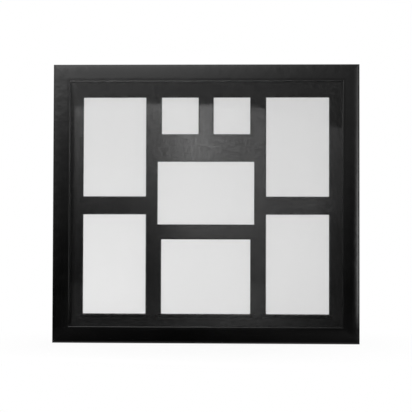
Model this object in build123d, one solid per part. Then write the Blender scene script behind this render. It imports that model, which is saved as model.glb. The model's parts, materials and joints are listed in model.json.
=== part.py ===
from build123d import *
import math
import os

# Sizes are in millimetres. X runs to the right as the front is seen, Z runs up, and the front
# faces -Y. The origin is the middle of the frame's underside, halfway through its whole depth.

# Moulding of the four rails
rail_width = 23.6
lip_depth = 6.5
rebate_width = 6.0
arris_radius = 1.0
face_width = 3.0
shoulder_depth = 3.2
back_chamfer = 0.6

# Sheets in the rebate, from the front
glazing_thickness = 2.0
mat_thickness = 1.4
card_thickness = 0.25
filler_thickness = 3.0
board_thickness = 3.0
board_recess = 0.15
pack_clearance = 0.75

# Windows cut in the mat
tall_window_width = 89.0
tall_window_height = 140.8
small_window_side = 52.1
middle_window_width = 137.2
middle_window_height = 89.1
bottom_window_width = 126.5
bottom_window_height = 105.5
mat_side_margin = 19.0
mat_top_margin = 22.9
mat_bottom_margin = 17.8
column_gap = 16.9
tall_window_gap = 25.7
small_window_gap = 21.5
small_to_middle_gap = 39.3
middle_to_bottom_gap = 21.2
card_overlap = 5.5

# Turn buttons and their screws
button_corner_distance = 100.0
button_pivot_inset = 6.0
button_reach = 10.3
button_eye_radius = 4.5
button_tip_radius = 3.0
button_thickness = 1.1
button_tip_lift = 0.9
button_bend_length = 3.2
button_gap = 0.1
screw_radius = 1.5
screw_hole_fit = 0.08
pilot_fit = 0.02
button_screw_length = 11.0

# Pan heads, the same on every screw
head_radius = 2.9
head_rim_height = 1.1
head_height = 1.9
screw_tip_length = 2.6
screw_tip_radius = 0.3
recess_length = 3.2
recess_width = 0.7
recess_depth = 1.0

# V-nails across the mitres
nail_leg = 4.5
nail_thickness = 0.5
nail_depth = 7.0
nail_inset = 5.5
nail_spacing = 6.0

# Hangers: a strap with a curled eye, and a D-ring that swings in it
hanger_drop = 52.0
strap_thickness = 1.0
strap_width = 9.0
strap_length = 21.5
strap_end_radius = 3.0
strap_screw_drop = 16.5
strap_screw_length = 9.5
wire_radius = 1.0
eye_fit = 0.05
ring_inner_width = 12.0
ring_drop = 11.0
ring_corner_radius = 2.0
ring_rest_gap = 0.3

# Wall bumpers
bumper_radius = 5.5
bumper_height = 5.2
bumper_edge_radius = 0.8
bumper_rise = 34.0

# How far cutting tools run past what they cut
cut_overrun = 1.0

# Layout of the windows
small_pair_width = 2 * small_window_side + small_window_gap
centre_column_width = max(middle_window_width, bottom_window_width, small_pair_width)
centre_column_height = (
    small_window_side
    + small_to_middle_gap
    + middle_window_height
    + middle_to_bottom_gap
    + bottom_window_height
)
field_height = max(2 * tall_window_height + tall_window_gap, centre_column_height)
spare_height = field_height - centre_column_height

# Sizes of the frame that follow from it
sight_width = 2 * (mat_side_margin + tall_window_width + column_gap) + centre_column_width
sight_height = mat_top_margin + field_height + mat_bottom_margin
frame_width = sight_width + 2 * rail_width
frame_height = sight_height + 2 * rail_width
frame_middle = frame_height / 2
sheet_inset = rail_width - rebate_width + pack_clearance
sheet_width = frame_width - 2 * sheet_inset
sheet_height = frame_height - 2 * sheet_inset
land_width = rail_width - rebate_width
shoulder_width = rail_width - arris_radius - face_width

# Places through the depth
pack_thickness = glazing_thickness + mat_thickness + card_thickness + filler_thickness + board_thickness
rail_depth = lip_depth + pack_thickness + board_recess
front_y = -(rail_depth + bumper_height) / 2
back_y = front_y + rail_depth
glazing_y = front_y + lip_depth
mat_y = glazing_y + glazing_thickness
card_y = mat_y + mat_thickness
filler_y = card_y + card_thickness
board_y = filler_y + filler_thickness

# The sides in order, each a quarter turn about the Y axis on from the one before, and the names
# of a rail's two ends. Places along a rail are counted along its own X, before the turn.
side_names = ("top", "right", "bottom", "left")
end_names = {
    "top": ("left", "right"),
    "right": ("upper", "lower"),
    "bottom": ("right", "left"),
    "left": ("lower", "upper"),
}


def side_turn(side):
    """The turn that brings what is drawn on the top rail to another side."""
    quarter_turns = side_names.index(side)
    return Pos(0, 0, frame_middle) * Rot(0, 90 * quarter_turns, 0)


def rail_length(side):
    """How long a rail is along its outer edge."""
    return frame_width if side in ("top", "bottom") else frame_height


def rail_reach(side):
    """How far a rail's outer edge is from the frame's middle."""
    return frame_height / 2 if side in ("top", "bottom") else frame_width / 2


def on_back(side, along, edge_distance):
    """A place on a rail's back, where +Y points towards the wall and +Z to the outer edge."""
    return side_turn(side) * Pos(along, back_y, rail_reach(side) - edge_distance)


def rail_section(reach):
    """The moulding's section on the top rail, with its outer edge at reach."""
    inner = reach - rail_width
    rebate = inner + rebate_width
    face_end = reach - shoulder_width
    back_edge = reach - back_chamfer
    shoulder_y = front_y + shoulder_depth
    arris_y = front_y + arris_radius
    with BuildSketch(Plane.YZ) as section:
        with BuildLine():
            Line((glazing_y, inner), (arris_y, inner))
            CenterArc((arris_y, inner + arris_radius), arris_radius, 180, 90)
            Line((front_y, inner + arris_radius), (front_y, face_end))
            EllipticalCenterArc((shoulder_y, face_end), shoulder_depth, shoulder_width, 90, arc_size=90)
            Polyline(
                (shoulder_y, reach),
                (back_y - back_chamfer, reach),
                (back_y, back_edge),
                (back_y, rebate),
                (glazing_y, rebate),
                (glazing_y, inner),
            )
        make_face()
    return section.sketch


def mitred_rail(side):
    """One rail, cut at 45 degrees at both ends."""
    reach = rail_reach(side)
    half = rail_length(side) / 2
    inner_half = half - rail_width
    inner = reach - rail_width
    corners = [(-half, reach), (half, reach), (inner_half, inner), (-inner_half, inner)]
    straight = extrude(rail_section(reach), amount=half, both=True)
    outline = make_face(Plane.XZ * Polyline(*corners, close=True))
    between_mitres = extrude(outline, amount=rail_depth + bumper_height, both=True)
    return side_turn(side) * (straight & between_mitres)


def corner_nails():
    """Two V-nails in each corner, sunk flush into the back across the mitre."""
    nails = []
    for across in (-1, 1):
        for up in (-1, 1):
            for place in (0, 1):
                inset = nail_inset + place * nail_spacing
                nails.append(v_nail(across, up, inset))
    return nails


def v_nail(across, up, inset):
    """A nail whose bend lies on the mitre and whose two legs lie along the two rails."""
    bend_x = frame_width / 2 - inset
    bend_z = frame_height / 2 - inset
    outline = [
        (bend_x, bend_z),
        (bend_x - nail_leg, bend_z),
        (bend_x - nail_leg, bend_z - nail_thickness),
        (bend_x - nail_thickness, bend_z - nail_thickness),
        (bend_x - nail_thickness, bend_z - nail_leg),
        (bend_x, bend_z - nail_leg),
    ]
    turned = [(across * x, up * z + frame_middle) for x, z in outline]
    face = make_face(Plane.XZ * Polyline(*turned, close=True))
    return Pos(0, back_y, 0) * extrude(face, amount=nail_depth, dir=(0, -1, 0))


def pilot_hole(length):
    """The hole that a screw cuts in a rail, with its mouth at the back."""
    radius = screw_radius + pilot_fit
    depth = length + cut_overrun
    return Pos(0, cut_overrun - depth / 2, 0) * Rot(90, 0, 0) * Cylinder(radius, depth)


def pan_screw(length):
    """A cross-headed screw along Y, with the underside of its head at the local origin."""
    with BuildSketch(Plane.XY) as half_section:
        with BuildLine():
            Polyline(
                (0, head_height),
                (0, -length),
                (screw_tip_radius, -length),
                (screw_radius, screw_tip_length - length),
                (screw_radius, 0),
                (head_radius, 0),
                (head_radius, head_rim_height),
            )
            crown = head_height - head_rim_height
            RadiusArc((head_radius, head_rim_height), (0, head_height), -dome_radius(head_radius, crown))
        make_face()
    screw = revolve(half_section.sketch, Axis.Y)
    for turn in (0, 90):
        slot = Box(recess_length, 2 * recess_depth, recess_width)
        screw -= Pos(0, head_height, 0) * Rot(0, turn, 0) * slot
    return screw


def dome_radius(half_chord, rise):
    """The radius of a dome that rises so much over half a chord."""
    return (half_chord**2 + rise**2) / (2 * rise)


def turn_button():
    """A stamped button that lies on the back, with its arm towards -Z and its tip bent up."""
    tip_middle = button_tip_radius - button_reach
    with BuildSketch(Plane.XZ) as outline:
        with BuildLine():
            CenterArc((0, 0), button_eye_radius, 0, 360)
            CenterArc((0, tip_middle), button_tip_radius, 0, 360)
        make_hull()
        Circle(screw_radius + screw_hole_fit, mode=Mode.SUBTRACT)
    height = button_thickness + button_tip_lift
    plan = extrude(outline.sketch, amount=height + button_gap, dir=(0, 1, 0))
    low, high = button_gap, button_gap + button_thickness
    bend_start = button_bend_length - button_reach
    with BuildSketch(Plane.YZ) as side_view:
        with BuildLine():
            Polyline(
                (low, bend_start),
                (low, button_eye_radius),
                (high, button_eye_radius),
                (high, bend_start),
                (high + button_tip_lift, -button_reach),
                (low + button_tip_lift, -button_reach),
                close=True,
            )
        make_face()
    return plan & extrude(side_view.sketch, amount=button_eye_radius, both=True)


def hanger_strap():
    """A strap that lies on the back below its curled eye. The eye's axis is at local Z = 0."""
    bore = wire_radius + eye_fit
    eye_y = strap_thickness + bore
    with BuildSketch(Plane.XZ) as outline:
        with Locations((0, -strap_length / 2)):
            Rectangle(strap_width, strap_length)
        fillet(outline.vertices().group_by(Axis.Z)[0], strap_end_radius)
        with Locations((0, -strap_screw_drop)):
            Circle(screw_radius + screw_hole_fit, mode=Mode.SUBTRACT)
    plate = extrude(outline.sketch, amount=strap_thickness, dir=(0, 1, 0))
    across = Pos(0, eye_y, 0) * Rot(0, 90, 0)
    strap = plate + across * Cylinder(bore + strap_thickness, strap_width)
    return strap - across * Cylinder(bore, strap_width + 2 * cut_overrun)


def ring_lean():
    """How far, in degrees, the hanging ring leans out where it rests on its strap."""
    return math.degrees(math.asin((ring_rest_gap - eye_fit) / ring_drop))


def hanger_ring():
    """A D of round wire that hangs from its straight bar, in the strap's local frame."""
    half = ring_inner_width / 2 + wire_radius
    bar_half = half - ring_corner_radius
    bow_z = half - ring_drop
    corner_z = -ring_corner_radius
    with BuildLine(Plane.XZ) as bend:
        Line((-bar_half, 0), (bar_half, 0))
        CenterArc((bar_half, corner_z), ring_corner_radius, 90, -90)
        Line((half, corner_z), (half, bow_z))
        CenterArc((0, bow_z), half, 0, -180)
        Line((-half, bow_z), (-half, corner_z))
        CenterArc((-bar_half, corner_z), ring_corner_radius, 180, -90)
    ring = sweep(Plane.YZ * Circle(wire_radius), path=bend.wires()[0])
    eye_y = strap_thickness + eye_fit + wire_radius
    return Pos(0, eye_y, 0) * Rot(ring_lean(), 0, 0) * ring


def wall_bumper():
    """A round pad that stands on the back, with its outer rim rounded."""
    with BuildSketch(Plane.XY) as half_section:
        with BuildLine():
            flat_radius = bumper_radius - bumper_edge_radius
            rim_y = bumper_height - bumper_edge_radius
            Polyline(
                (flat_radius, bumper_height),
                (0, bumper_height),
                (0, 0),
                (bumper_radius, 0),
                (bumper_radius, rim_y),
            )
            CenterArc((flat_radius, rim_y), bumper_edge_radius, 0, 90)
        make_face()
    return revolve(half_section.sketch, Axis.Y)


def sheet(width, height, thickness, near_y, middle_x=0, middle_z=frame_middle):
    """A flat sheet that stands upright, with its front face at near_y."""
    return Pos(middle_x, near_y + thickness / 2, middle_z) * Box(width, thickness, height)


def windows():
    """Each window's name, with its width, height and the place of its middle."""
    field_top = frame_height - rail_width - mat_top_margin
    field_bottom = field_top - field_height
    tall_x = sight_width / 2 - mat_side_margin - tall_window_width / 2
    small_x = (small_window_gap + small_window_side) / 2
    upper_z = field_top - tall_window_height / 2
    lower_z = field_bottom + tall_window_height / 2
    small_z = field_top - small_window_side / 2
    bottom_z = field_bottom + bottom_window_height / 2
    lower_gap = middle_to_bottom_gap + spare_height / 2
    middle_z = bottom_z + (bottom_window_height + middle_window_height) / 2 + lower_gap
    tall = (tall_window_width, tall_window_height)
    small = (small_window_side, small_window_side)
    return {
        "upper_left": (*tall, -tall_x, upper_z),
        "upper_right": (*tall, tall_x, upper_z),
        "lower_left": (*tall, -tall_x, lower_z),
        "lower_right": (*tall, tall_x, lower_z),
        "small_left": (*small, -small_x, small_z),
        "small_right": (*small, small_x, small_z),
        "middle": (middle_window_width, middle_window_height, 0, middle_z),
        "bottom": (bottom_window_width, bottom_window_height, 0, bottom_z),
    }


def mat_board():
    """The mat, with each window cut at 45 degrees and widest at the front."""
    board = sheet(sheet_width, sheet_height, mat_thickness, mat_y)
    for width, height, x, z in windows().values():
        back = Plane.XZ.offset(-card_y) * Pos(x, z) * Rectangle(width, height)
        front_width = width + 2 * mat_thickness
        front_height = height + 2 * mat_thickness
        front = Plane.XZ.offset(-mat_y) * Pos(x, z) * Rectangle(front_width, front_height)
        board -= loft([back.face(), front.face()])
    return board


def photo_cards():
    """A blank card behind each window, a little larger than the window all round."""
    cards = {}
    for name, (width, height, x, z) in windows().items():
        card_width = width + 2 * card_overlap
        card_height = height + 2 * card_overlap
        cards["photo_card_" + name] = sheet(card_width, card_height, card_thickness, card_y, x, z)
    return cards


def button_places():
    """Each turn button's name and its place, two to a rail."""
    places = {}
    for side in side_names:
        along = rail_length(side) / 2 - button_corner_distance
        for end, name in zip((-1, 1), end_names[side]):
            place = on_back(side, end * along, land_width - button_pivot_inset)
            places[f"turn_button_{side}_{name}"] = place
    return places


def side_rail_places(height):
    """The places at one height on the middle line of each side rail's back, turned upright."""
    middle = land_width / 2
    return {
        "left": Pos(middle - frame_width / 2, back_y, height),
        "right": Pos(frame_width / 2 - middle, back_y, height),
    }


def build():
    """Every sub-part by its node's name."""
    parts = {}
    button_screw = Pos(0, 2 * button_gap + button_thickness, 0) * pan_screw(button_screw_length)
    strap_screw = Pos(0, strap_thickness, 0) * pan_screw(strap_screw_length)
    buttons = button_places()
    strap_screw_places = side_rail_places(frame_height - hanger_drop - strap_screw_drop).values()
    button_hole = pilot_hole(button_screw_length)
    strap_hole = pilot_hole(strap_screw_length)
    holes = [place * button_hole for place in buttons.values()]
    holes += [place * strap_hole for place in strap_screw_places]
    nails = corner_nails()
    for side in side_names:
        parts[f"frame_rail_{side}"] = mitred_rail(side) - holes - nails
    parts["corner_v_nails"] = Compound(children=nails)
    parts["glazing_sheet"] = sheet(sheet_width, sheet_height, glazing_thickness, glazing_y)
    parts["mat_board"] = mat_board()
    parts.update(photo_cards())
    parts["filler_board"] = sheet(sheet_width, sheet_height, filler_thickness, filler_y)
    parts["back_board"] = sheet(sheet_width, sheet_height, board_thickness, board_y)
    for name, place in buttons.items():
        parts[name] = place * turn_button()
    parts["turn_button_screws"] = Compound(children=[place * button_screw for place in buttons.values()])
    for side, place in side_rail_places(frame_height - hanger_drop).items():
        parts[f"hanger_strap_{side}"] = place * hanger_strap()
        parts[f"hanger_ring_{side}"] = place * hanger_ring()
    parts["hanger_screws"] = Compound(children=[place * strap_screw for place in strap_screw_places])
    for side, place in side_rail_places(bumper_rise).items():
        parts[f"wall_bumper_{side}"] = place * wall_bumper()
    return parts


os.makedirs("parts", exist_ok=True)
for node, shape in build().items():
    export_step(shape, f"parts/{node}.step")
print("frame", round(frame_width, 2), "x", round(frame_height, 2), "x", round(rail_depth + bumper_height, 2))
print("rail depth", round(rail_depth, 2), "ring lean", round(ring_lean(), 3))
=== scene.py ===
import bpy
import json
import math
from mathutils import Matrix, Vector


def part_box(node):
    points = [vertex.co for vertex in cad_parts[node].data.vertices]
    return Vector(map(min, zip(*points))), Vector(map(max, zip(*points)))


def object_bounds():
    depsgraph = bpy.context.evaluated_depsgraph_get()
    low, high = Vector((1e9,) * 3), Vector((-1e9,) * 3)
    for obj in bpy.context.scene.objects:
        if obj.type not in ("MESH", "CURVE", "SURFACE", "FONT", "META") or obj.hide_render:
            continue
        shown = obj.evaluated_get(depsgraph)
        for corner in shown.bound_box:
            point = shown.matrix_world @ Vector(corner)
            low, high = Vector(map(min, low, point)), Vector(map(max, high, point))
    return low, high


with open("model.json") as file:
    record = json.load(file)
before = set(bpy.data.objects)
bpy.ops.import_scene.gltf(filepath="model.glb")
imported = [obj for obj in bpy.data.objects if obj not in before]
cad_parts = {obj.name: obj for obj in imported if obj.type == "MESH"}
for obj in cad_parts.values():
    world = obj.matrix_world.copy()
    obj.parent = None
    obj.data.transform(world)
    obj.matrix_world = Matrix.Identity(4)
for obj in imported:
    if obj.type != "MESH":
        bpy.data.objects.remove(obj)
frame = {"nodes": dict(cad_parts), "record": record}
cad_box = [list(corner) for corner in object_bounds()]
nodes = frame["nodes"]
MM = 0.001
frame_half_width = cad_box[1][0]
frame_half_height = cad_box[1][2] / 2
front_face = cad_box[0][1]
rail_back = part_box("frame_rail_top")[1][1]
rail_width = cad_box[1][2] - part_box("frame_rail_top")[0][2]


# Node helpers
def grey(level):
    return (level, level, level, 1.0)


WHITE = grey(1.0)
# Nearly all values of a noise lie between these two.
NOISE_LOW, NOISE_HIGH = 0.3, 0.7
# Where the colour sockets stand on a mix node.
MIX_SHARE, MIX_FIRST, MIX_SECOND, MIX_RESULT = 0, 6, 7, 2


class Tree:
    """A short way to write the nodes of a material or a world."""

    def __init__(self, owner):
        owner.use_nodes = True
        self.nodes = owner.node_tree.nodes
        self.links = owner.node_tree.links
        self.nodes.clear()

    def new(self, kind, inputs=None, **settings):
        node = self.nodes.new(kind)
        for key, value in settings.items():
            setattr(node, key, value)
        for key, value in (inputs or {}).items():
            self.put(node.inputs[key], value)
        return node

    def put(self, socket, value):
        if isinstance(value, bpy.types.NodeSocket):
            self.links.new(value, socket)
        else:
            socket.default_value = value

    def math(self, operation, *values, clamp=False):
        node = self.new("ShaderNodeMath", operation=operation, use_clamp=clamp)
        for socket, value in zip(node.inputs, values):
            self.put(socket, value)
        return node.outputs[0]

    def plus(self, first, *others):
        for other in others:
            first = self.math("ADD", first, other)
        return first

    def times(self, first, *others):
        for other in others:
            first = self.math("MULTIPLY", first, other)
        return first

    def vector(self, operation, *values):
        node = self.new("ShaderNodeVectorMath", operation=operation)
        for socket, value in zip(node.inputs, values):
            self.put(socket, value)
        return node.outputs["Value"] if operation in ("LENGTH", "DOT_PRODUCT") else node.outputs[0]

    def axes(self, vector):
        outputs = self.new("ShaderNodeSeparateXYZ", {"Vector": vector}).outputs
        return outputs["X"], outputs["Y"], outputs["Z"]

    def place(self):
        """Where a point is in the object's own frame, in metres."""
        return self.new("ShaderNodeTexCoord").outputs["Object"]

    def stretched(self, place, scale):
        return self.new("ShaderNodeMapping", {"Vector": place, "Scale": scale}).outputs[0]

    def noise(self, place, scale, detail=2.0, rough=0.5):
        inputs = {"Vector": place, "Scale": scale, "Detail": detail, "Roughness": rough}
        return self.new("ShaderNodeTexNoise", inputs).outputs["Fac"]

    def wave(self, along, pitch):
        return self.math("SINE", self.times(along, 2 * math.pi / pitch))

    def spread(self, value, low, high, to_low=0.0, to_high=1.0):
        """Maps low..high of a value to to_low..to_high, smoothly and held at the ends."""
        node = self.new("ShaderNodeMapRange", {
            "Value": value, "From Min": low, "From Max": high, "To Min": to_low, "To Max": to_high,
        }, interpolation_type="SMOOTHSTEP")
        return node.outputs["Result"]

    def levels(self, noise, to_low=0.0, to_high=1.0):
        """Maps the usual range of a noise."""
        return self.spread(noise, NOISE_LOW, NOISE_HIGH, to_low, to_high)

    def step(self, value, at, softness, before=0.0, after=1.0):
        """Goes from one number to another where the value passes a place."""
        return self.spread(value, at - softness, at + softness, before, after)

    def mix(self, share, first, second):
        """Mixes two colours."""
        node = self.new("ShaderNodeMix", data_type="RGBA")
        self.put(node.inputs[MIX_SHARE], share)
        self.put(node.inputs[MIX_FIRST], first)
        self.put(node.inputs[MIX_SECOND], second)
        return node.outputs[MIX_RESULT]

    def blend(self, share, first, second):
        """Mixes two numbers."""
        return self.new("ShaderNodeMix", {"Factor": share, "A": first, "B": second}).outputs[0]

    def bump(self, height, distance, strength=1.0, normal=None):
        node = self.new("ShaderNodeBump", {"Height": height, "Distance": distance, "Strength": strength})
        if normal is not None:
            self.put(node.inputs["Normal"], normal)
        return node.outputs[0]

    def surface(self, shader):
        self.new("ShaderNodeOutputMaterial", {"Surface": shader})

    def mixed_surface(self, share, first, second):
        """A surface of two shaders, the second with the given share."""
        node = self.new("ShaderNodeMixShader")
        for socket, value in zip(node.inputs, (share, first, second)):
            self.put(socket, value)
        self.surface(node.outputs[0])

    def principled(self, **inputs):
        named = {key.replace("_", " "): value for key, value in inputs.items()}
        self.surface(self.new("ShaderNodeBsdfPrincipled", named).outputs[0])


def material(name):
    made = bpy.data.materials.new(name)
    return made, Tree(made)


# Moulding
FOIL_DARK, FOIL_PALE = grey(0.0012), grey(0.002)
FOIL_GLOSSY, FOIL_DULL, FOIL_CLOUDED = 0.125, 0.165, 0.012
GRAIN_ALONG, GRAIN_ACROSS, GRAIN_WEIGHT = 26.0, 1500.0, 0.6
GRAIN_HEIGHT, FOIL_WAVE_HEIGHT = 0.02 * MM, 0.17 * MM
# The grain is drawn out along x on the level rails and along z on the upright ones.
GRAIN_STRETCHES = (GRAIN_ALONG, GRAIN_ACROSS, GRAIN_ACROSS), (GRAIN_ACROSS, GRAIN_ACROSS, GRAIN_ALONG)
# The back is bare board, past an uneven margin of foil, with a dark line at each mitre.
BOARD_DARK, BOARD_PALE = (0.36, 0.255, 0.155, 1.0), (0.52, 0.395, 0.26, 1.0)
BOARD_ROUGH = 0.85
FOIL_MARGIN, FOIL_MARGIN_UNEVEN = 3 * MM, 1.2 * MM
BACK_FROM = rail_back - 0.1 * MM
MITRE_DARK, MITRE_BOARD_SHARE = grey(0.02), 0.35
MITRE_HALF_WIDTH, MITRE_FADED = 0.1 * MM, 0.4 * MM
# A pale line is painted along the sight edge as a highlight, uneven along its length. It starts and is full
# at these distances from the outer edge.
HIGHLIGHT_FROM, HIGHLIGHT_FULL = rail_width - 1.4 * MM, rail_width - 0.6 * MM
HIGHLIGHT_PALE, HIGHLIGHT_LEAST = grey(0.5), 0.75
# It is full where the surface faces into the opening, and faint where it faces the front.
FACING_IN, FACING_FRONT, HIGHLIGHT_ON_FRONT = 0.1, 0.6, 0.1
# How strong the painted highlight is on the top rail at its left end and its right end, and how far the ends
# are from its middle.
HIGHLIGHT_TOP_LEFT_END, HIGHLIGHT_TOP_RIGHT_END, HIGHLIGHT_TOP_HALF = 0.95, 0.28, 0.19
# The painted highlight is stronger on the left rail the higher up, between two heights, and is a little on
# the bottom rail all along.
HIGHLIGHT_LEFT, HIGHLIGHT_LEFT_FROM, HIGHLIGHT_LEFT_FULL, HIGHLIGHT_LEFT_STEEPNESS = 0.5, 0.06, 0.37, 3.0
HIGHLIGHT_BOTTOM = 0.07


def edge_highlight_share(t, place, from_edge, upright):
    """How strongly a pale highlight is painted on the foil at a point."""
    x, _, z = t.axes(place)
    highlight_unevenness = t.levels(t.noise(place, scale=240.0, detail=3.0), HIGHLIGHT_LEAST, 1.0)
    highlight_at_edge = t.times(t.spread(from_edge, HIGHLIGHT_FROM, HIGHLIGHT_FULL), highlight_unevenness)
    _, normal_y, _ = t.axes(t.new("ShaderNodeNewGeometry").outputs["Normal"])
    inner_wall = t.spread(t.math("ABSOLUTE", normal_y), FACING_IN, FACING_FRONT, 1.0, HIGHLIGHT_ON_FRONT)
    higher = t.math("POWER", t.spread(z, HIGHLIGHT_LEFT_FROM, HIGHLIGHT_LEFT_FULL), HIGHLIGHT_LEFT_STEEPNESS)
    on_left = t.times(t.math("LESS_THAN", x, 0.0), higher)
    on_top = t.math("GREATER_THAN", z, frame_half_height)
    top_share = t.spread(x, -HIGHLIGHT_TOP_HALF, HIGHLIGHT_TOP_HALF, HIGHLIGHT_TOP_LEFT_END, HIGHLIGHT_TOP_RIGHT_END)
    by_side = t.blend(upright, t.blend(on_top, HIGHLIGHT_BOTTOM, top_share), t.times(on_left, HIGHLIGHT_LEFT))
    return t.times(highlight_at_edge, inner_wall, by_side)


def moulding():
    """Black satin foil, grained along each rail, over fibreboard that is bare on the back."""
    made, t = material("moulding")
    place = t.place()
    x, y, z = t.axes(place)
    from_side = t.math("SUBTRACT", frame_half_width, t.math("ABSOLUTE", x))
    from_middle = t.math("ABSOLUTE", t.math("SUBTRACT", z, frame_half_height))
    from_end = t.math("SUBTRACT", frame_half_height, from_middle)
    from_edge = t.math("MINIMUM", from_side, from_end)
    past_mitre = t.math("SUBTRACT", from_end, from_side)
    upright = t.math("GREATER_THAN", past_mitre, 0.0)

    stretched = [t.stretched(place, stretch) for stretch in GRAIN_STRETCHES]
    grain = t.blend(upright, *(t.noise(along, scale=1.0, detail=3.0, rough=0.55) for along in stretched))
    fine = t.noise(place, scale=2600.0, detail=3.0)
    cloud = t.noise(place, scale=30.0, detail=3.0)
    foil = t.mix(t.levels(cloud), FOIL_DARK, FOIL_PALE)
    # A painted highlight along the sight edge, strongest at the upper left.
    foil = t.mix(edge_highlight_share(t, place, from_edge, upright), foil, HIGHLIGHT_PALE)
    clouded = t.levels(cloud, -FOIL_CLOUDED, FOIL_CLOUDED)
    foil_rough = t.plus(t.levels(grain, FOIL_GLOSSY, FOIL_DULL), clouded)
    foil_wave = t.bump(t.noise(place, scale=75.0), FOIL_WAVE_HEIGHT)
    relief = t.plus(t.times(grain, GRAIN_WEIGHT), fine)

    speck = t.noise(place, scale=1500.0, detail=4.0, rough=0.7)
    board = t.mix(t.levels(speck), BOARD_DARK, BOARD_PALE)
    from_mitre = t.math("ABSOLUTE", past_mitre)
    board_share = t.spread(from_mitre, MITRE_HALF_WIDTH, MITRE_FADED, MITRE_BOARD_SHARE, 1.0)
    board = t.mix(board_share, MITRE_DARK, board)
    margin = t.math("MULTIPLY_ADD", t.noise(place, scale=160.0), FOIL_MARGIN_UNEVEN, FOIL_MARGIN)
    bare = t.times(t.math("GREATER_THAN", y, BACK_FROM), t.math("GREATER_THAN", from_edge, margin))
    t.principled(
        Base_Color=t.mix(bare, foil, board),
        Roughness=t.math("MAXIMUM", foil_rough, t.times(bare, BOARD_ROUGH)),
        Specular_IOR_Level=0.25,
        Normal=t.bump(relief, GRAIN_HEIGHT, strength=0.25, normal=foil_wave),
    )
    return made


# Glazing
GLASS_TINT, GLASS_IOR = grey(0.988), 1.33
SMEAR_FROM, SMEAR_FULL, SMEAR_ROUGH = 0.35, 0.75, 0.012


def glazing():
    """Clear glass that shows what is behind it and mirrors a little, on its outward sides only."""
    made, t = material("glazing")
    smear = t.noise(t.place(), scale=14.0, detail=4.0, rough=0.6)
    rough = t.spread(smear, SMEAR_FROM, SMEAR_FULL, 0.0, SMEAR_ROUGH)
    clear = t.new("ShaderNodeBsdfTransparent", {"Color": GLASS_TINT}).outputs[0]
    gloss = t.new("ShaderNodeBsdfGlossy", {"Color": WHITE, "Roughness": rough}).outputs[0]
    fresnel = t.new("ShaderNodeFresnel", {"IOR": GLASS_IOR}).outputs[0]
    outward = t.math("SUBTRACT", 1.0, t.new("ShaderNodeNewGeometry").outputs["Backfacing"])
    t.mixed_surface(t.times(fresnel, outward), clear, gloss)
    return made


# Mat
MAT_DARK, MAT_PALE = grey(0.0048), grey(0.0112)
FIBRE_STRETCH, CLOUD_STRETCH, FLECK_STRETCH = (1.0, 1.0, 1.6), (0.9, 1.0, 0.95), (1.0, 1.0, 0.85)
FLECK_SHARE, FIBRE_SHARE = 0.3, 0.3
MOTTLE_DARK_AT, MOTTLE_PALE_AT = 0.38, 0.62
# The film's weight changes steeply with its grain, from this least weight to full.
FILM_LEAST, FILM_LEAST_AT, FILM_FULL_AT = 0.6, 0.475, 0.525
FILM_HEIGHT, FIBRE_HEIGHT = 0.004 * MM, 0.04 * MM


def mat():
    """Black board with fine fibres, under a smooth film whose gloss is mottled."""
    made, t = material("mat")
    place = t.place()
    fibre = t.noise(t.stretched(place, FIBRE_STRETCH), scale=900.0, detail=4.0, rough=0.6)
    cloud = t.noise(t.stretched(place, CLOUD_STRETCH), scale=300.0, detail=3.0, rough=0.6)
    fleck = t.noise(t.stretched(place, FLECK_STRETCH), scale=370.0)
    grain = t.blend(FLECK_SHARE, cloud, fleck)
    mottle = t.blend(FIBRE_SHARE, grain, fibre)
    t.principled(
        Base_Color=t.mix(t.spread(mottle, MOTTLE_DARK_AT, MOTTLE_PALE_AT), MAT_DARK, MAT_PALE),
        Roughness=0.7,
        Specular_IOR_Level=0.0,
        Coat_Weight=t.spread(grain, FILM_LEAST_AT, FILM_FULL_AT, FILM_LEAST, 1.0),
        Coat_Normal=t.bump(grain, FILM_HEIGHT),
        Coat_Roughness=0.028,
        Coat_IOR=1.66,
        Normal=t.bump(fibre, FIBRE_HEIGHT, strength=0.4),
    )
    return made


# Cards and boards
CARD_DULL, CARD_PALE = (0.846, 0.846, 0.845, 1.0), (0.86, 0.86, 0.859, 1.0)
TOOTH_HEIGHT = 0.02 * MM
KRAFT_DARK, KRAFT_PALE = (0.44, 0.31, 0.19, 1.0), (0.56, 0.42, 0.27, 1.0)
FLUTE_PITCH, FLUTE_HEIGHT = 6 * MM, 0.1 * MM
HARDBOARD_DARK, HARDBOARD_PALE = (0.13, 0.068, 0.032, 1.0), (0.27, 0.16, 0.085, 1.0)
HARDBOARD_CLOUD, HARDBOARD_CLOUD_SHARE = (0.15, 0.085, 0.043, 1.0), 0.35
SCREEN_DARK, SCREEN_SHARE, SCREEN_FROM, SCREEN_FULL = (0.08, 0.043, 0.021, 1.0), 0.22, -0.2, 0.8
SCREEN_PITCH, SCREEN_WEIGHT, BOARD_RELIEF = 1.3 * MM, -0.5, 0.08 * MM


def card():
    """Matt white card with a trace of tooth."""
    made, t = material("card")
    tooth = t.noise(t.place(), scale=1800.0, detail=3.0)
    t.principled(
        Base_Color=t.mix(t.levels(tooth), CARD_DULL, CARD_PALE),
        Roughness=0.75,
        Specular_IOR_Level=0.3,
        Normal=t.bump(tooth, TOOTH_HEIGHT, strength=0.2),
    )
    return made


def filler():
    """Corrugated brown card."""
    made, t = material("filler")
    place = t.place()
    x, _, _ = t.axes(place)
    speck = t.noise(place, scale=700.0, detail=4.0)
    t.principled(
        Base_Color=t.mix(t.levels(speck), KRAFT_DARK, KRAFT_PALE),
        Roughness=0.8,
        Normal=t.bump(t.wave(x, FLUTE_PITCH), FLUTE_HEIGHT, strength=0.3),
    )
    return made


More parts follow.
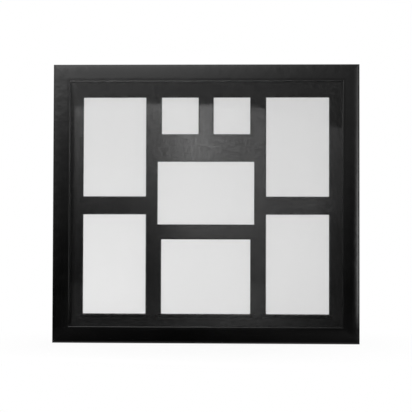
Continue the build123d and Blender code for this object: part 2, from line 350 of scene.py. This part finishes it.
def hardboard():
    """Brown fibre sheet, marked by the screen that it was pressed on."""
    made, t = material("hardboard")
    place = t.place()
    x, _, z = t.axes(place)
    screen = t.times(t.wave(x, SCREEN_PITCH), t.wave(z, SCREEN_PITCH))
    speck = t.noise(place, scale=900.0, detail=4.0, rough=0.7)
    cloud = t.noise(place, scale=16.0, detail=3.0)
    colour = t.mix(t.levels(speck), HARDBOARD_DARK, HARDBOARD_PALE)
    colour = t.mix(t.levels(cloud, 0.0, HARDBOARD_CLOUD_SHARE), colour, HARDBOARD_CLOUD)
    colour = t.mix(t.spread(screen, SCREEN_FROM, SCREEN_FULL, 0.0, SCREEN_SHARE), colour, SCREEN_DARK)
    height = t.plus(t.times(screen, SCREEN_WEIGHT), speck)
    t.principled(Base_Color=colour, Roughness=0.62, Normal=t.bump(height, BOARD_RELIEF, strength=0.5))
    return made


# Metal and rubber
ZINC, ZINC_ROUGH = (0.56, 0.57, 0.58, 1.0), 0.32
NICKEL, NICKEL_ROUGH = (0.6, 0.57, 0.52, 1.0), 0.24
STAIN_DARKER, STAIN_FROM, STAIN_FULL = 0.64, 0.34, 0.66
PIT_DARK, PIT_SHARE, PIT_FROM, PIT_FULL, PIT_WEIGHT = grey(0.07), 0.7, 0.62, 0.72, -0.5
LINES_STRETCH, LINES_SMOOTHER, LINES_ROUGHER = (1.0, 1.0, 9.0), 0.08, 0.1
METAL_RELIEF, RUBBER_RELIEF = 0.04 * MM, 0.05 * MM
RUBBER_DARK, RUBBER_DUSTY, DUST_FROM, DUST_FULL = grey(0.022), grey(0.04), 0.35, 0.7


def metal(name, colour, rough):
    """Plated steel: dull clouds, fine draw lines and small dark pits."""
    made, t = material(name)
    place = t.place()
    stain = t.noise(place, scale=190.0, detail=4.0, rough=0.65)
    lines = t.noise(t.stretched(place, LINES_STRETCH), scale=1500.0, detail=3.0)
    pit = t.noise(place, scale=1300.0)
    darker = tuple(STAIN_DARKER * part for part in colour[:3]) + (1.0,)
    mixed = t.mix(t.spread(stain, STAIN_FROM, STAIN_FULL), colour, darker)
    mixed = t.mix(t.spread(pit, PIT_FROM, PIT_FULL, 0.0, PIT_SHARE), mixed, PIT_DARK)
    t.principled(
        Base_Color=mixed,
        Metallic=1.0,
        Roughness=t.levels(lines, rough - LINES_SMOOTHER, rough + LINES_ROUGHER),
        Normal=t.bump(t.plus(lines, t.times(pit, PIT_WEIGHT)), METAL_RELIEF, strength=0.4),
    )
    return made


def bumper():
    """Dusty black rubber."""
    made, t = material("bumper")
    dust = t.noise(t.place(), scale=1200.0, detail=3.0)
    t.principled(
        Base_Color=t.mix(t.spread(dust, DUST_FROM, DUST_FULL), RUBBER_DARK, RUBBER_DUSTY),
        Roughness=0.72,
        Normal=t.bump(dust, RUBBER_RELIEF, strength=0.4),
    )
    return made


finishes = {
    "moulding": moulding(),
    "zinc": metal("zinc", ZINC, ZINC_ROUGH),
    "nickel": metal("nickel", NICKEL, NICKEL_ROUGH),
    "glazing": glazing(),
    "mat": mat(),
    "card": card(),
    "filler": filler(),
    "hardboard": hardboard(),
    "bumper": bumper(),
}
for subpart in frame["record"]["subparts"]:
    mesh = nodes[subpart["node"]].data
    for index in range(len(mesh.materials)):
        mesh.materials[index] = finishes[subpart["material_slot"]]


# Floor and world
FLOOR_HALF = 9.0
FLOOR_COLOUR = grey(0.94)
# The floor shows its own shaded colour a little near the frame, and plain white from further off.
SHADE_FROM, SHADE_TO, WHITE_LEAST = 0.02, 0.4, 0.9
WORLD_LIGHT = 0.44


def panel(name, corners):
    """A flat four-sided sheet for the stage."""
    mesh = bpy.data.meshes.new(name)
    mesh.from_pydata([Vector(corner) for corner in corners], [], [(0, 1, 2, 3)])
    made = bpy.data.objects.new(name, mesh)
    bpy.context.scene.collection.objects.link(made)
    return made


def level_sheet(half_width, front, back, height):
    """The corners of a level sheet."""
    return [
        (-half_width, front, height), (half_width, front, height),
        (half_width, back, height), (-half_width, back, height),
    ]


def upright_sheet(start, end, low, high):
    """The corners of an upright sheet between two places on the floor."""
    return [(*start, low), (*end, low), (*end, high), (*start, high)]


def seen_rays(t):
    """One for camera, glossy and transmission rays, and nought for the light itself."""
    rays = t.new("ShaderNodeLightPath").outputs
    direct = t.math("MAXIMUM", rays["Is Camera Ray"], rays["Is Glossy Ray"])
    return t.math("MAXIMUM", direct, rays["Is Transmission Ray"])


def floor_material():
    """White, and shaded softly near the frame."""
    made, t = material("floor")
    shaded = t.new("ShaderNodeBsdfDiffuse", {"Color": FLOOR_COLOUR}).outputs[0]
    plain = t.new("ShaderNodeEmission", {"Color": WHITE, "Strength": 1.0}).outputs[0]
    away = t.vector("LENGTH", t.vector("MULTIPLY", t.place(), (1.0, 1.0, 0.0)))
    plain_share = t.times(seen_rays(t), t.spread(away, SHADE_FROM, SHADE_TO, WHITE_LEAST, 1.0))
    t.mixed_surface(plain_share, shaded, plain)
    return made


floor = panel("floor", level_sheet(FLOOR_HALF, -FLOOR_HALF, FLOOR_HALF, 0.0))
floor.data.materials.append(floor_material())

world = bpy.data.worlds.new("studio")
bpy.context.scene.world = world
sky = Tree(world)
strength = sky.blend(seen_rays(sky), WORLD_LIGHT, 1.0)
light = sky.new("ShaderNodeBackground", {"Color": WHITE, "Strength": strength}).outputs[0]
sky.new("ShaderNodeOutputWorld", {"Surface": light})


# The room in front of the frame, where the photographer stood. Only gloss shows it: dark walls and a dark
# floor with soft glows, and a strip light. Places and sizes are in metres: across, back and up.
ROOM_DARK = 0.02
ROOM_HALF_WIDTH, ROOM_HEIGHT = 2.6, 2.6
ROOM_FRONT, ROOM_BACK = -2.6, -0.3
# The room's floor ends just before the frame, and lies just over the stage's floor.
ROOM_FLOOR_BACK, ROOM_FLOOR_LIFT = front_face - 0.45 * MM, 0.5 * MM
# A glow's size square to its sheet: so large that it changes nothing.
FLAT = 50.0


def bell(t, square):
    """Falls softly from one as a squared distance grows."""
    return t.math("EXPONENT", t.times(square, -0.5))


def glow(t, place, middle, size, power):
    """A soft round patch of light."""
    away = t.vector("SUBTRACT", place, middle)
    scaled = t.vector("MULTIPLY", away, tuple(1 / part for part in size))
    return t.times(bell(t, t.vector("DOT_PRODUCT", scaled, scaled)), power)


def wall_glow(t, place, middle, size, power):
    """A glow on the front wall, its middle and size given across and up."""
    (x, z), (width, height) = middle, size
    return glow(t, place, (x, ROOM_FRONT, z), (width, FLAT, height), power)


def floor_glow(t, place, middle, size, power):
    """A glow on the floor, its middle and size given across and back."""
    return glow(t, place, (*middle, 0.0), (*size, FLAT), power)


# The wash is the big soft light up on the left, which fades to the right. Up to its full height it is the
# sum of a steep high part and a flatter low part, and above that it grows evenly.
WASH_HIGH, WASH_HIGH_STEEPNESS = 2.0, 8.0
WASH_LOW, WASH_LOW_STEEPNESS = 0.65, 1.3
WASH_FULL_HEIGHT, WASH_GROWTH = 0.74, 0.6
WASH_FADE_FROM, WASH_FADE = -0.45, 0.52
# Left of this place its low part and its full height grow, up to these at the wall's left end.
WASH_CHANGES_AT, WASH_LOW_FAR_LEFT, WASH_FULL_HEIGHT_FAR_LEFT = -0.7, 1.8, 0.8
# The whole wash is stronger just left of the mirrored part, and weaker at the far left.
WASH_LEFT, WASH_LEFT_TO, WASH_LEFT_GONE = 1.38, -0.66, -0.54
WASH_FAR_LEFT, WASH_FAR_LEFT_TO, WASH_FAR_LEFT_GONE = 0.72, -2.4, -0.8


def rise(t, z, low, full_height):
    """How bright the wash is at a height."""
    share = t.math("MINIMUM", t.math("DIVIDE", t.math("MAXIMUM", z, 0.0), full_height), 1.0)
    high_part = t.times(t.math("POWER", share, WASH_HIGH_STEEPNESS), WASH_HIGH)
    low_part = t.times(t.math("POWER", share, WASH_LOW_STEEPNESS), low)
    past = t.math("MAXIMUM", t.math("SUBTRACT", z, full_height), 0.0)
    return t.math("MULTIPLY_ADD", past, WASH_GROWTH, t.plus(high_part, low_part))


def fade(t, x):
    """How the wash falls off to the right."""
    past = t.math("DIVIDE", t.math("MAXIMUM", t.math("SUBTRACT", x, WASH_FADE_FROM), 0.0), WASH_FADE)
    return bell(t, t.times(past, past))


# The glazing mirrors this part of the front wall, and a narrow gap to the left of it stays dim.
SEEN_LEFT, SEEN_RIGHT, SEEN_TOP = -0.547, 0.4, 0.71
SEEN_LEFT_SOFTNESS, SEEN_SOFTNESS = 0.004, 0.01
GAP_LEFT, GAP_SOFTNESS, GAP_SHARE = -0.572, 0.003, 0.3
# In that part the beam ends upwards at a shallow arc: places along the wall and heights above the floor.
ARC = [
    (-0.62, 0.59), (-0.52, 0.615), (-0.29, 0.622), (-0.11, 0.618),
    (0.07, 0.61), (0.12, 0.6), (0.34, 0.543), (0.48, 0.52),
]
ARC_SOFTNESS = 0.006
# The beam's glows, each as its middle, size and power.
BEAM_STREAK = ((-0.13, 0.48), (0.065, 0.2), 0.86)
BEAM_WIDE = ((-0.3, 0.64), (0.49, 0.235), 0.88)
BEAM_LOW = ((0.05, 0.36), (0.17, 0.36), 0.55)
BEAM_SPOT = ((0.28, 0.28), (0.045, 0.035), 0.2)
# The beam is brighter just under the left part of the arc.
RIM_POWER, RIM_DEPTH = 0.33, 0.045
RIM_FULL_TO, RIM_GONE = -0.26, -0.16
# Above the arc lies a fainter veil, which fades to the right and grows a little with height.
VEIL_POWER, VEIL_HEIGHT, VEIL_MOST = 0.3, 0.65, 0.6
VEIL_ACROSS, VEIL_UP = -0.33, 0.25
# Glows outside the part that the glazing mirrors, seen in the rails.
UPPER_LEFT_GLOW = ((-0.61, 0.8), (0.08, 0.06), 1.3)
FAR_RIGHT_GLOW = ((1.3, 0.7), (0.75, 0.26), 0.78)
LOW_RIGHT_GLOW = ((0.5, 0.28), (0.15, 0.15), 0.15)


def arc_height(t, x):
    (first, _), (last, _) = ARC[0], ARC[-1]
    along = t.math("DIVIDE", t.math("SUBTRACT", x, first), last - first, clamp=True)
    curve = t.new("ShaderNodeFloatCurve", {"Value": along})
    line = curve.mapping.curves[0]
    points = [((at - first) / (last - first), height) for at, height in ARC]
    line.points[0].location, line.points[1].location = points[0], points[-1]
    for point in points[1:-1]:
        line.points.new(*point)
    curve.mapping.update()
    return curve.outputs[0]


def mirrored_part(t, place, x, z):
    """What the glazing mirrors of the front wall: the beam below the arc and the veil above it."""
    below = t.math("SUBTRACT", arc_height(t, x), z)
    from_arc = t.math("DIVIDE", below, RIM_DEPTH)
    rim = t.times(bell(t, t.times(from_arc, from_arc)), t.spread(x, RIM_FULL_TO, RIM_GONE, RIM_POWER, 0.0))
    glows = [wall_glow(t, place, *one) for one in (BEAM_STREAK, BEAM_WIDE, BEAM_LOW, BEAM_SPOT)]
    beam = t.plus(*glows, rim)
    across = t.math("MULTIPLY_ADD", x, VEIL_ACROSS, VEIL_POWER)
    veil = t.math("MULTIPLY_ADD", t.math("SUBTRACT", z, VEIL_HEIGHT), VEIL_UP, across)
    veil = t.math("MINIMUM", t.math("MAXIMUM", veil, 0.0), VEIL_MOST)
    return t.blend(t.step(below, 0.0, ARC_SOFTNESS), veil, beam)


def wash(t, place, x, z):
    """The big soft light up on the left."""
    low = t.spread(x, -ROOM_HALF_WIDTH, WASH_CHANGES_AT, WASH_LOW_FAR_LEFT, WASH_LOW)
    full_height = t.spread(x, -ROOM_HALF_WIDTH, WASH_CHANGES_AT, WASH_FULL_HEIGHT_FAR_LEFT, WASH_FULL_HEIGHT)
    more = t.times(
        t.spread(x, WASH_LEFT_TO, WASH_LEFT_GONE, WASH_LEFT, 1.0),
        t.spread(x, WASH_FAR_LEFT_TO, WASH_FAR_LEFT_GONE, WASH_FAR_LEFT, 1.0),
    )
    light = t.times(rise(t, z, low, full_height), fade(t, x), more)
    return t.plus(light, wall_glow(t, place, *UPPER_LEFT_GLOW))


def lit_wall(t):
    """The front wall: the part that the glazing mirrors, and the lights around it."""
    place = t.place()
    x, _, z = t.axes(place)
    left = t.step(x, SEEN_LEFT, SEEN_LEFT_SOFTNESS, 1.0, 0.0)
    right = t.step(x, SEEN_RIGHT, SEEN_SOFTNESS)
    above = t.step(z, SEEN_TOP, SEEN_SOFTNESS)
    gap = t.times(left, t.step(x, GAP_LEFT, GAP_SOFTNESS))
    inside = t.math("SUBTRACT", 1.0, t.math("MAXIMUM", left, above))
    outside = t.math("MAXIMUM", t.math("MAXIMUM", left, right), above)
    outside = t.times(outside, t.math("MULTIPLY_ADD", gap, GAP_SHARE - 1.0, 1.0))
    right_glows = t.plus(wall_glow(t, place, *FAR_RIGHT_GLOW), wall_glow(t, place, *LOW_RIGHT_GLOW))
    return t.plus(
        t.times(mirrored_part(t, place, x, z), inside),
        t.times(wash(t, place, x, z), outside),
        t.times(right_glows, right),
        ROOM_DARK,
    )


# The foot of the beam runs on over the floor. Its left side slants towards the frame's lower left corner.
FOOT_GLOW = ((0.05, -2.2), (0.083, 1.9), 0.48)
FOOT_LEFT_SIDE, FOOT_SLANT, FOOT_SOFTNESS = -0.1896, 0.1392, 0.003
FOOT_FULL_TO, FOOT_GONE = -0.34, -0.29
# Beside its glow the foot has an even light on the left and a fainter one on the right of these places.
FOOT_LEFT, FOOT_LEFT_TO, FOOT_RIGHT, FOOT_RIGHT_FROM = 0.11, -0.1, 0.04, 0.15
RIGHT_PATCH_GLOW = ((0.26, -0.1), (0.12, 0.1), 0.3)
LEFT_CORNER_GLOW = ((-0.25, -0.15), (0.07, 0.16), 0.13)


def lit_floor(t):
    """The floor in front: the foot of the beam, and a faint patch on each side."""
    place = t.place()
    x, y, _ = t.axes(place)
    right_of_side = t.step(t.math("MULTIPLY_ADD", y, -FOOT_SLANT, x), FOOT_LEFT_SIDE, FOOT_SOFTNESS)
    reach = t.times(t.spread(y, FOOT_FULL_TO, FOOT_GONE, 1.0, 0.0), right_of_side)
    beside = t.spread(x, FOOT_LEFT_TO, FOOT_RIGHT_FROM, FOOT_LEFT, FOOT_RIGHT)
    foot = t.times(t.plus(floor_glow(t, place, *FOOT_GLOW), beside), reach)
    patches = [floor_glow(t, place, *one) for one in (RIGHT_PATCH_GLOW, LEFT_CORNER_GLOW)]
    return t.plus(foot, *patches, ROOM_DARK)


CEILING_POWER = 4.0


def lit_ceiling(t):
    """The ceiling, lit as the wash is."""
    x, _, _ = t.axes(t.place())
    return t.math("MULTIPLY_ADD", fade(t, x), CEILING_POWER, ROOM_DARK)


def lit_left(t):
    """The left wall, on which the wash runs on."""
    _, _, z = t.axes(t.place())
    light = rise(t, z, WASH_LOW_FAR_LEFT, WASH_FULL_HEIGHT_FAR_LEFT)
    return t.math("MULTIPLY_ADD", light, WASH_FAR_LEFT, ROOM_DARK)


def dark(t):
    """A wall with no glow on it."""
    return ROOM_DARK


# An upright soft light near the frame's right edge, and two fainter glows above it.
STRIP_MIDDLE = Vector((0.56, -0.44))
STRIP_ALONG = Vector((0.775, 0.63))
STRIP_HALF, STRIP_TOP = 0.22, 0.9
STRIP_GLOWS = [
    ((*STRIP_MIDDLE, 0.15), (0.08, 0.08, 0.19), 6.6),
    ((0.44, -0.54, 0.5), (0.12, 0.12, 0.13), 0.9),
    ((0.6, -0.41, 0.5), (0.06, 0.06, 0.07), 1.3),
]


def strip(t):
    """The strip light."""
    place = t.place()
    return t.plus(*(glow(t, place, *one) for one in STRIP_GLOWS))


def reflection_card(name, corners, power):
    """A sheet of the room, which only gloss shows."""
    made = panel(name, corners)
    made.visible_camera = False
    made.visible_diffuse = False
    made.visible_transmission = False
    made.visible_shadow = False
    made.visible_volume_scatter = False
    shine, t = material(name)
    t.surface(t.new("ShaderNodeEmission", {"Color": WHITE, "Strength": power(t)}).outputs[0])
    made.data.materials.append(shine)


left_front, left_back = (-ROOM_HALF_WIDTH, ROOM_FRONT), (-ROOM_HALF_WIDTH, ROOM_BACK)
right_front, right_back = (ROOM_HALF_WIDTH, ROOM_FRONT), (ROOM_HALF_WIDTH, ROOM_BACK)
strip_near, strip_far = (STRIP_MIDDLE + side * STRIP_HALF * STRIP_ALONG for side in (-1, 1))
cards = {
    "lit_ceiling": (level_sheet(ROOM_HALF_WIDTH, ROOM_FRONT, ROOM_BACK, ROOM_HEIGHT), lit_ceiling),
    "lit_left": (upright_sheet(left_front, left_back, 0.0, ROOM_HEIGHT), lit_left),
    "dark_right": (upright_sheet(right_front, right_back, 0.0, ROOM_HEIGHT), dark),
    "lit_floor": (level_sheet(ROOM_HALF_WIDTH, ROOM_FRONT, ROOM_FLOOR_BACK, ROOM_FLOOR_LIFT), lit_floor),
    "lit_wall": (upright_sheet(left_front, right_front, 0.0, ROOM_HEIGHT), lit_wall),
    "strip": (upright_sheet(strip_near, strip_far, ROOM_FLOOR_LIFT, STRIP_TOP), strip),
}
for name, (corners, power) in cards.items():
    reflection_card(name, corners, power)


# Lamps
def lamp(name, at, towards, size, power):
    """A soft box whose light falls on the frame but isn't mirrored by it."""
    data = bpy.data.lights.new(name, "AREA")
    data.shape = "RECTANGLE"
    data.size, data.size_y = size
    data.energy = power
    made = bpy.data.objects.new(name, data)
    bpy.context.scene.collection.objects.link(made)
    made.location = at
    made.rotation_mode = "QUATERNION"
    made.rotation_quaternion = (Vector(towards) - Vector(at)).to_track_quat("-Z", "Y")
    made.visible_glossy = False
    made.visible_camera = False


lamp("key", at=(-1.5, -1.7, 0.35), towards=(0.0, 0.0, 0.2), size=(1.2, 0.7), power=17.0)
lamp("low_fill", at=(-0.1, -0.3, 0.015), towards=(-0.02, 0.0, 0.04), size=(0.9, 0.02), power=0.4)
lamp("back_fill", at=(0.9, 2.0, 0.75), towards=(0.0, 0.0, 0.2), size=(1.4, 0.8), power=22.0)


# Camera: its turns in degrees, the front's middle as it sees it, its focal length in the photo's pixels
CAMERA_YAW, CAMERA_PITCH, CAMERA_ROLL = 1.98, 1.6, -0.17
FRONT_FROM_CAMERA = Vector((-0.6, 3.5, 1800.0)) * MM
FOCAL_PIXELS, PHOTO_PIXELS = 1273.8, 412
SENSOR_WIDTH = 36


def photo_camera():
    """The camera that the photograph's corners fit, 1.8 m in front of the frame."""
    yaw, pitch, roll = (math.radians(angle) for angle in (CAMERA_YAW, CAMERA_PITCH, CAMERA_ROLL))
    turn = Matrix.Rotation(roll, 3, "Z") @ Matrix.Rotation(pitch, 3, "X") @ Matrix.Rotation(yaw, 3, "Y")
    centre = -(turn.transposed() @ FRONT_FROM_CAMERA)
    swap_y_and_z = Matrix(((1, 0, 0), (0, 0, 1), (0, 1, 0)))
    right, up, ahead = (swap_y_and_z @ row for row in turn)
    front_middle = Vector((0, front_face, frame_half_height))
    data = bpy.data.cameras.new("camera")
    data.sensor_width = SENSOR_WIDTH
    data.lens = FOCAL_PIXELS * SENSOR_WIDTH / PHOTO_PIXELS
    made = bpy.data.objects.new("camera", data)
    bpy.context.scene.collection.objects.link(made)
    axes = Matrix((right, up, -ahead)).transposed().to_4x4()
    made.matrix_world = Matrix.Translation(front_middle + swap_y_and_z @ centre) @ axes
    bpy.context.scene.camera = made


photo_camera()
bpy.context.scene.view_settings.view_transform = "Standard"
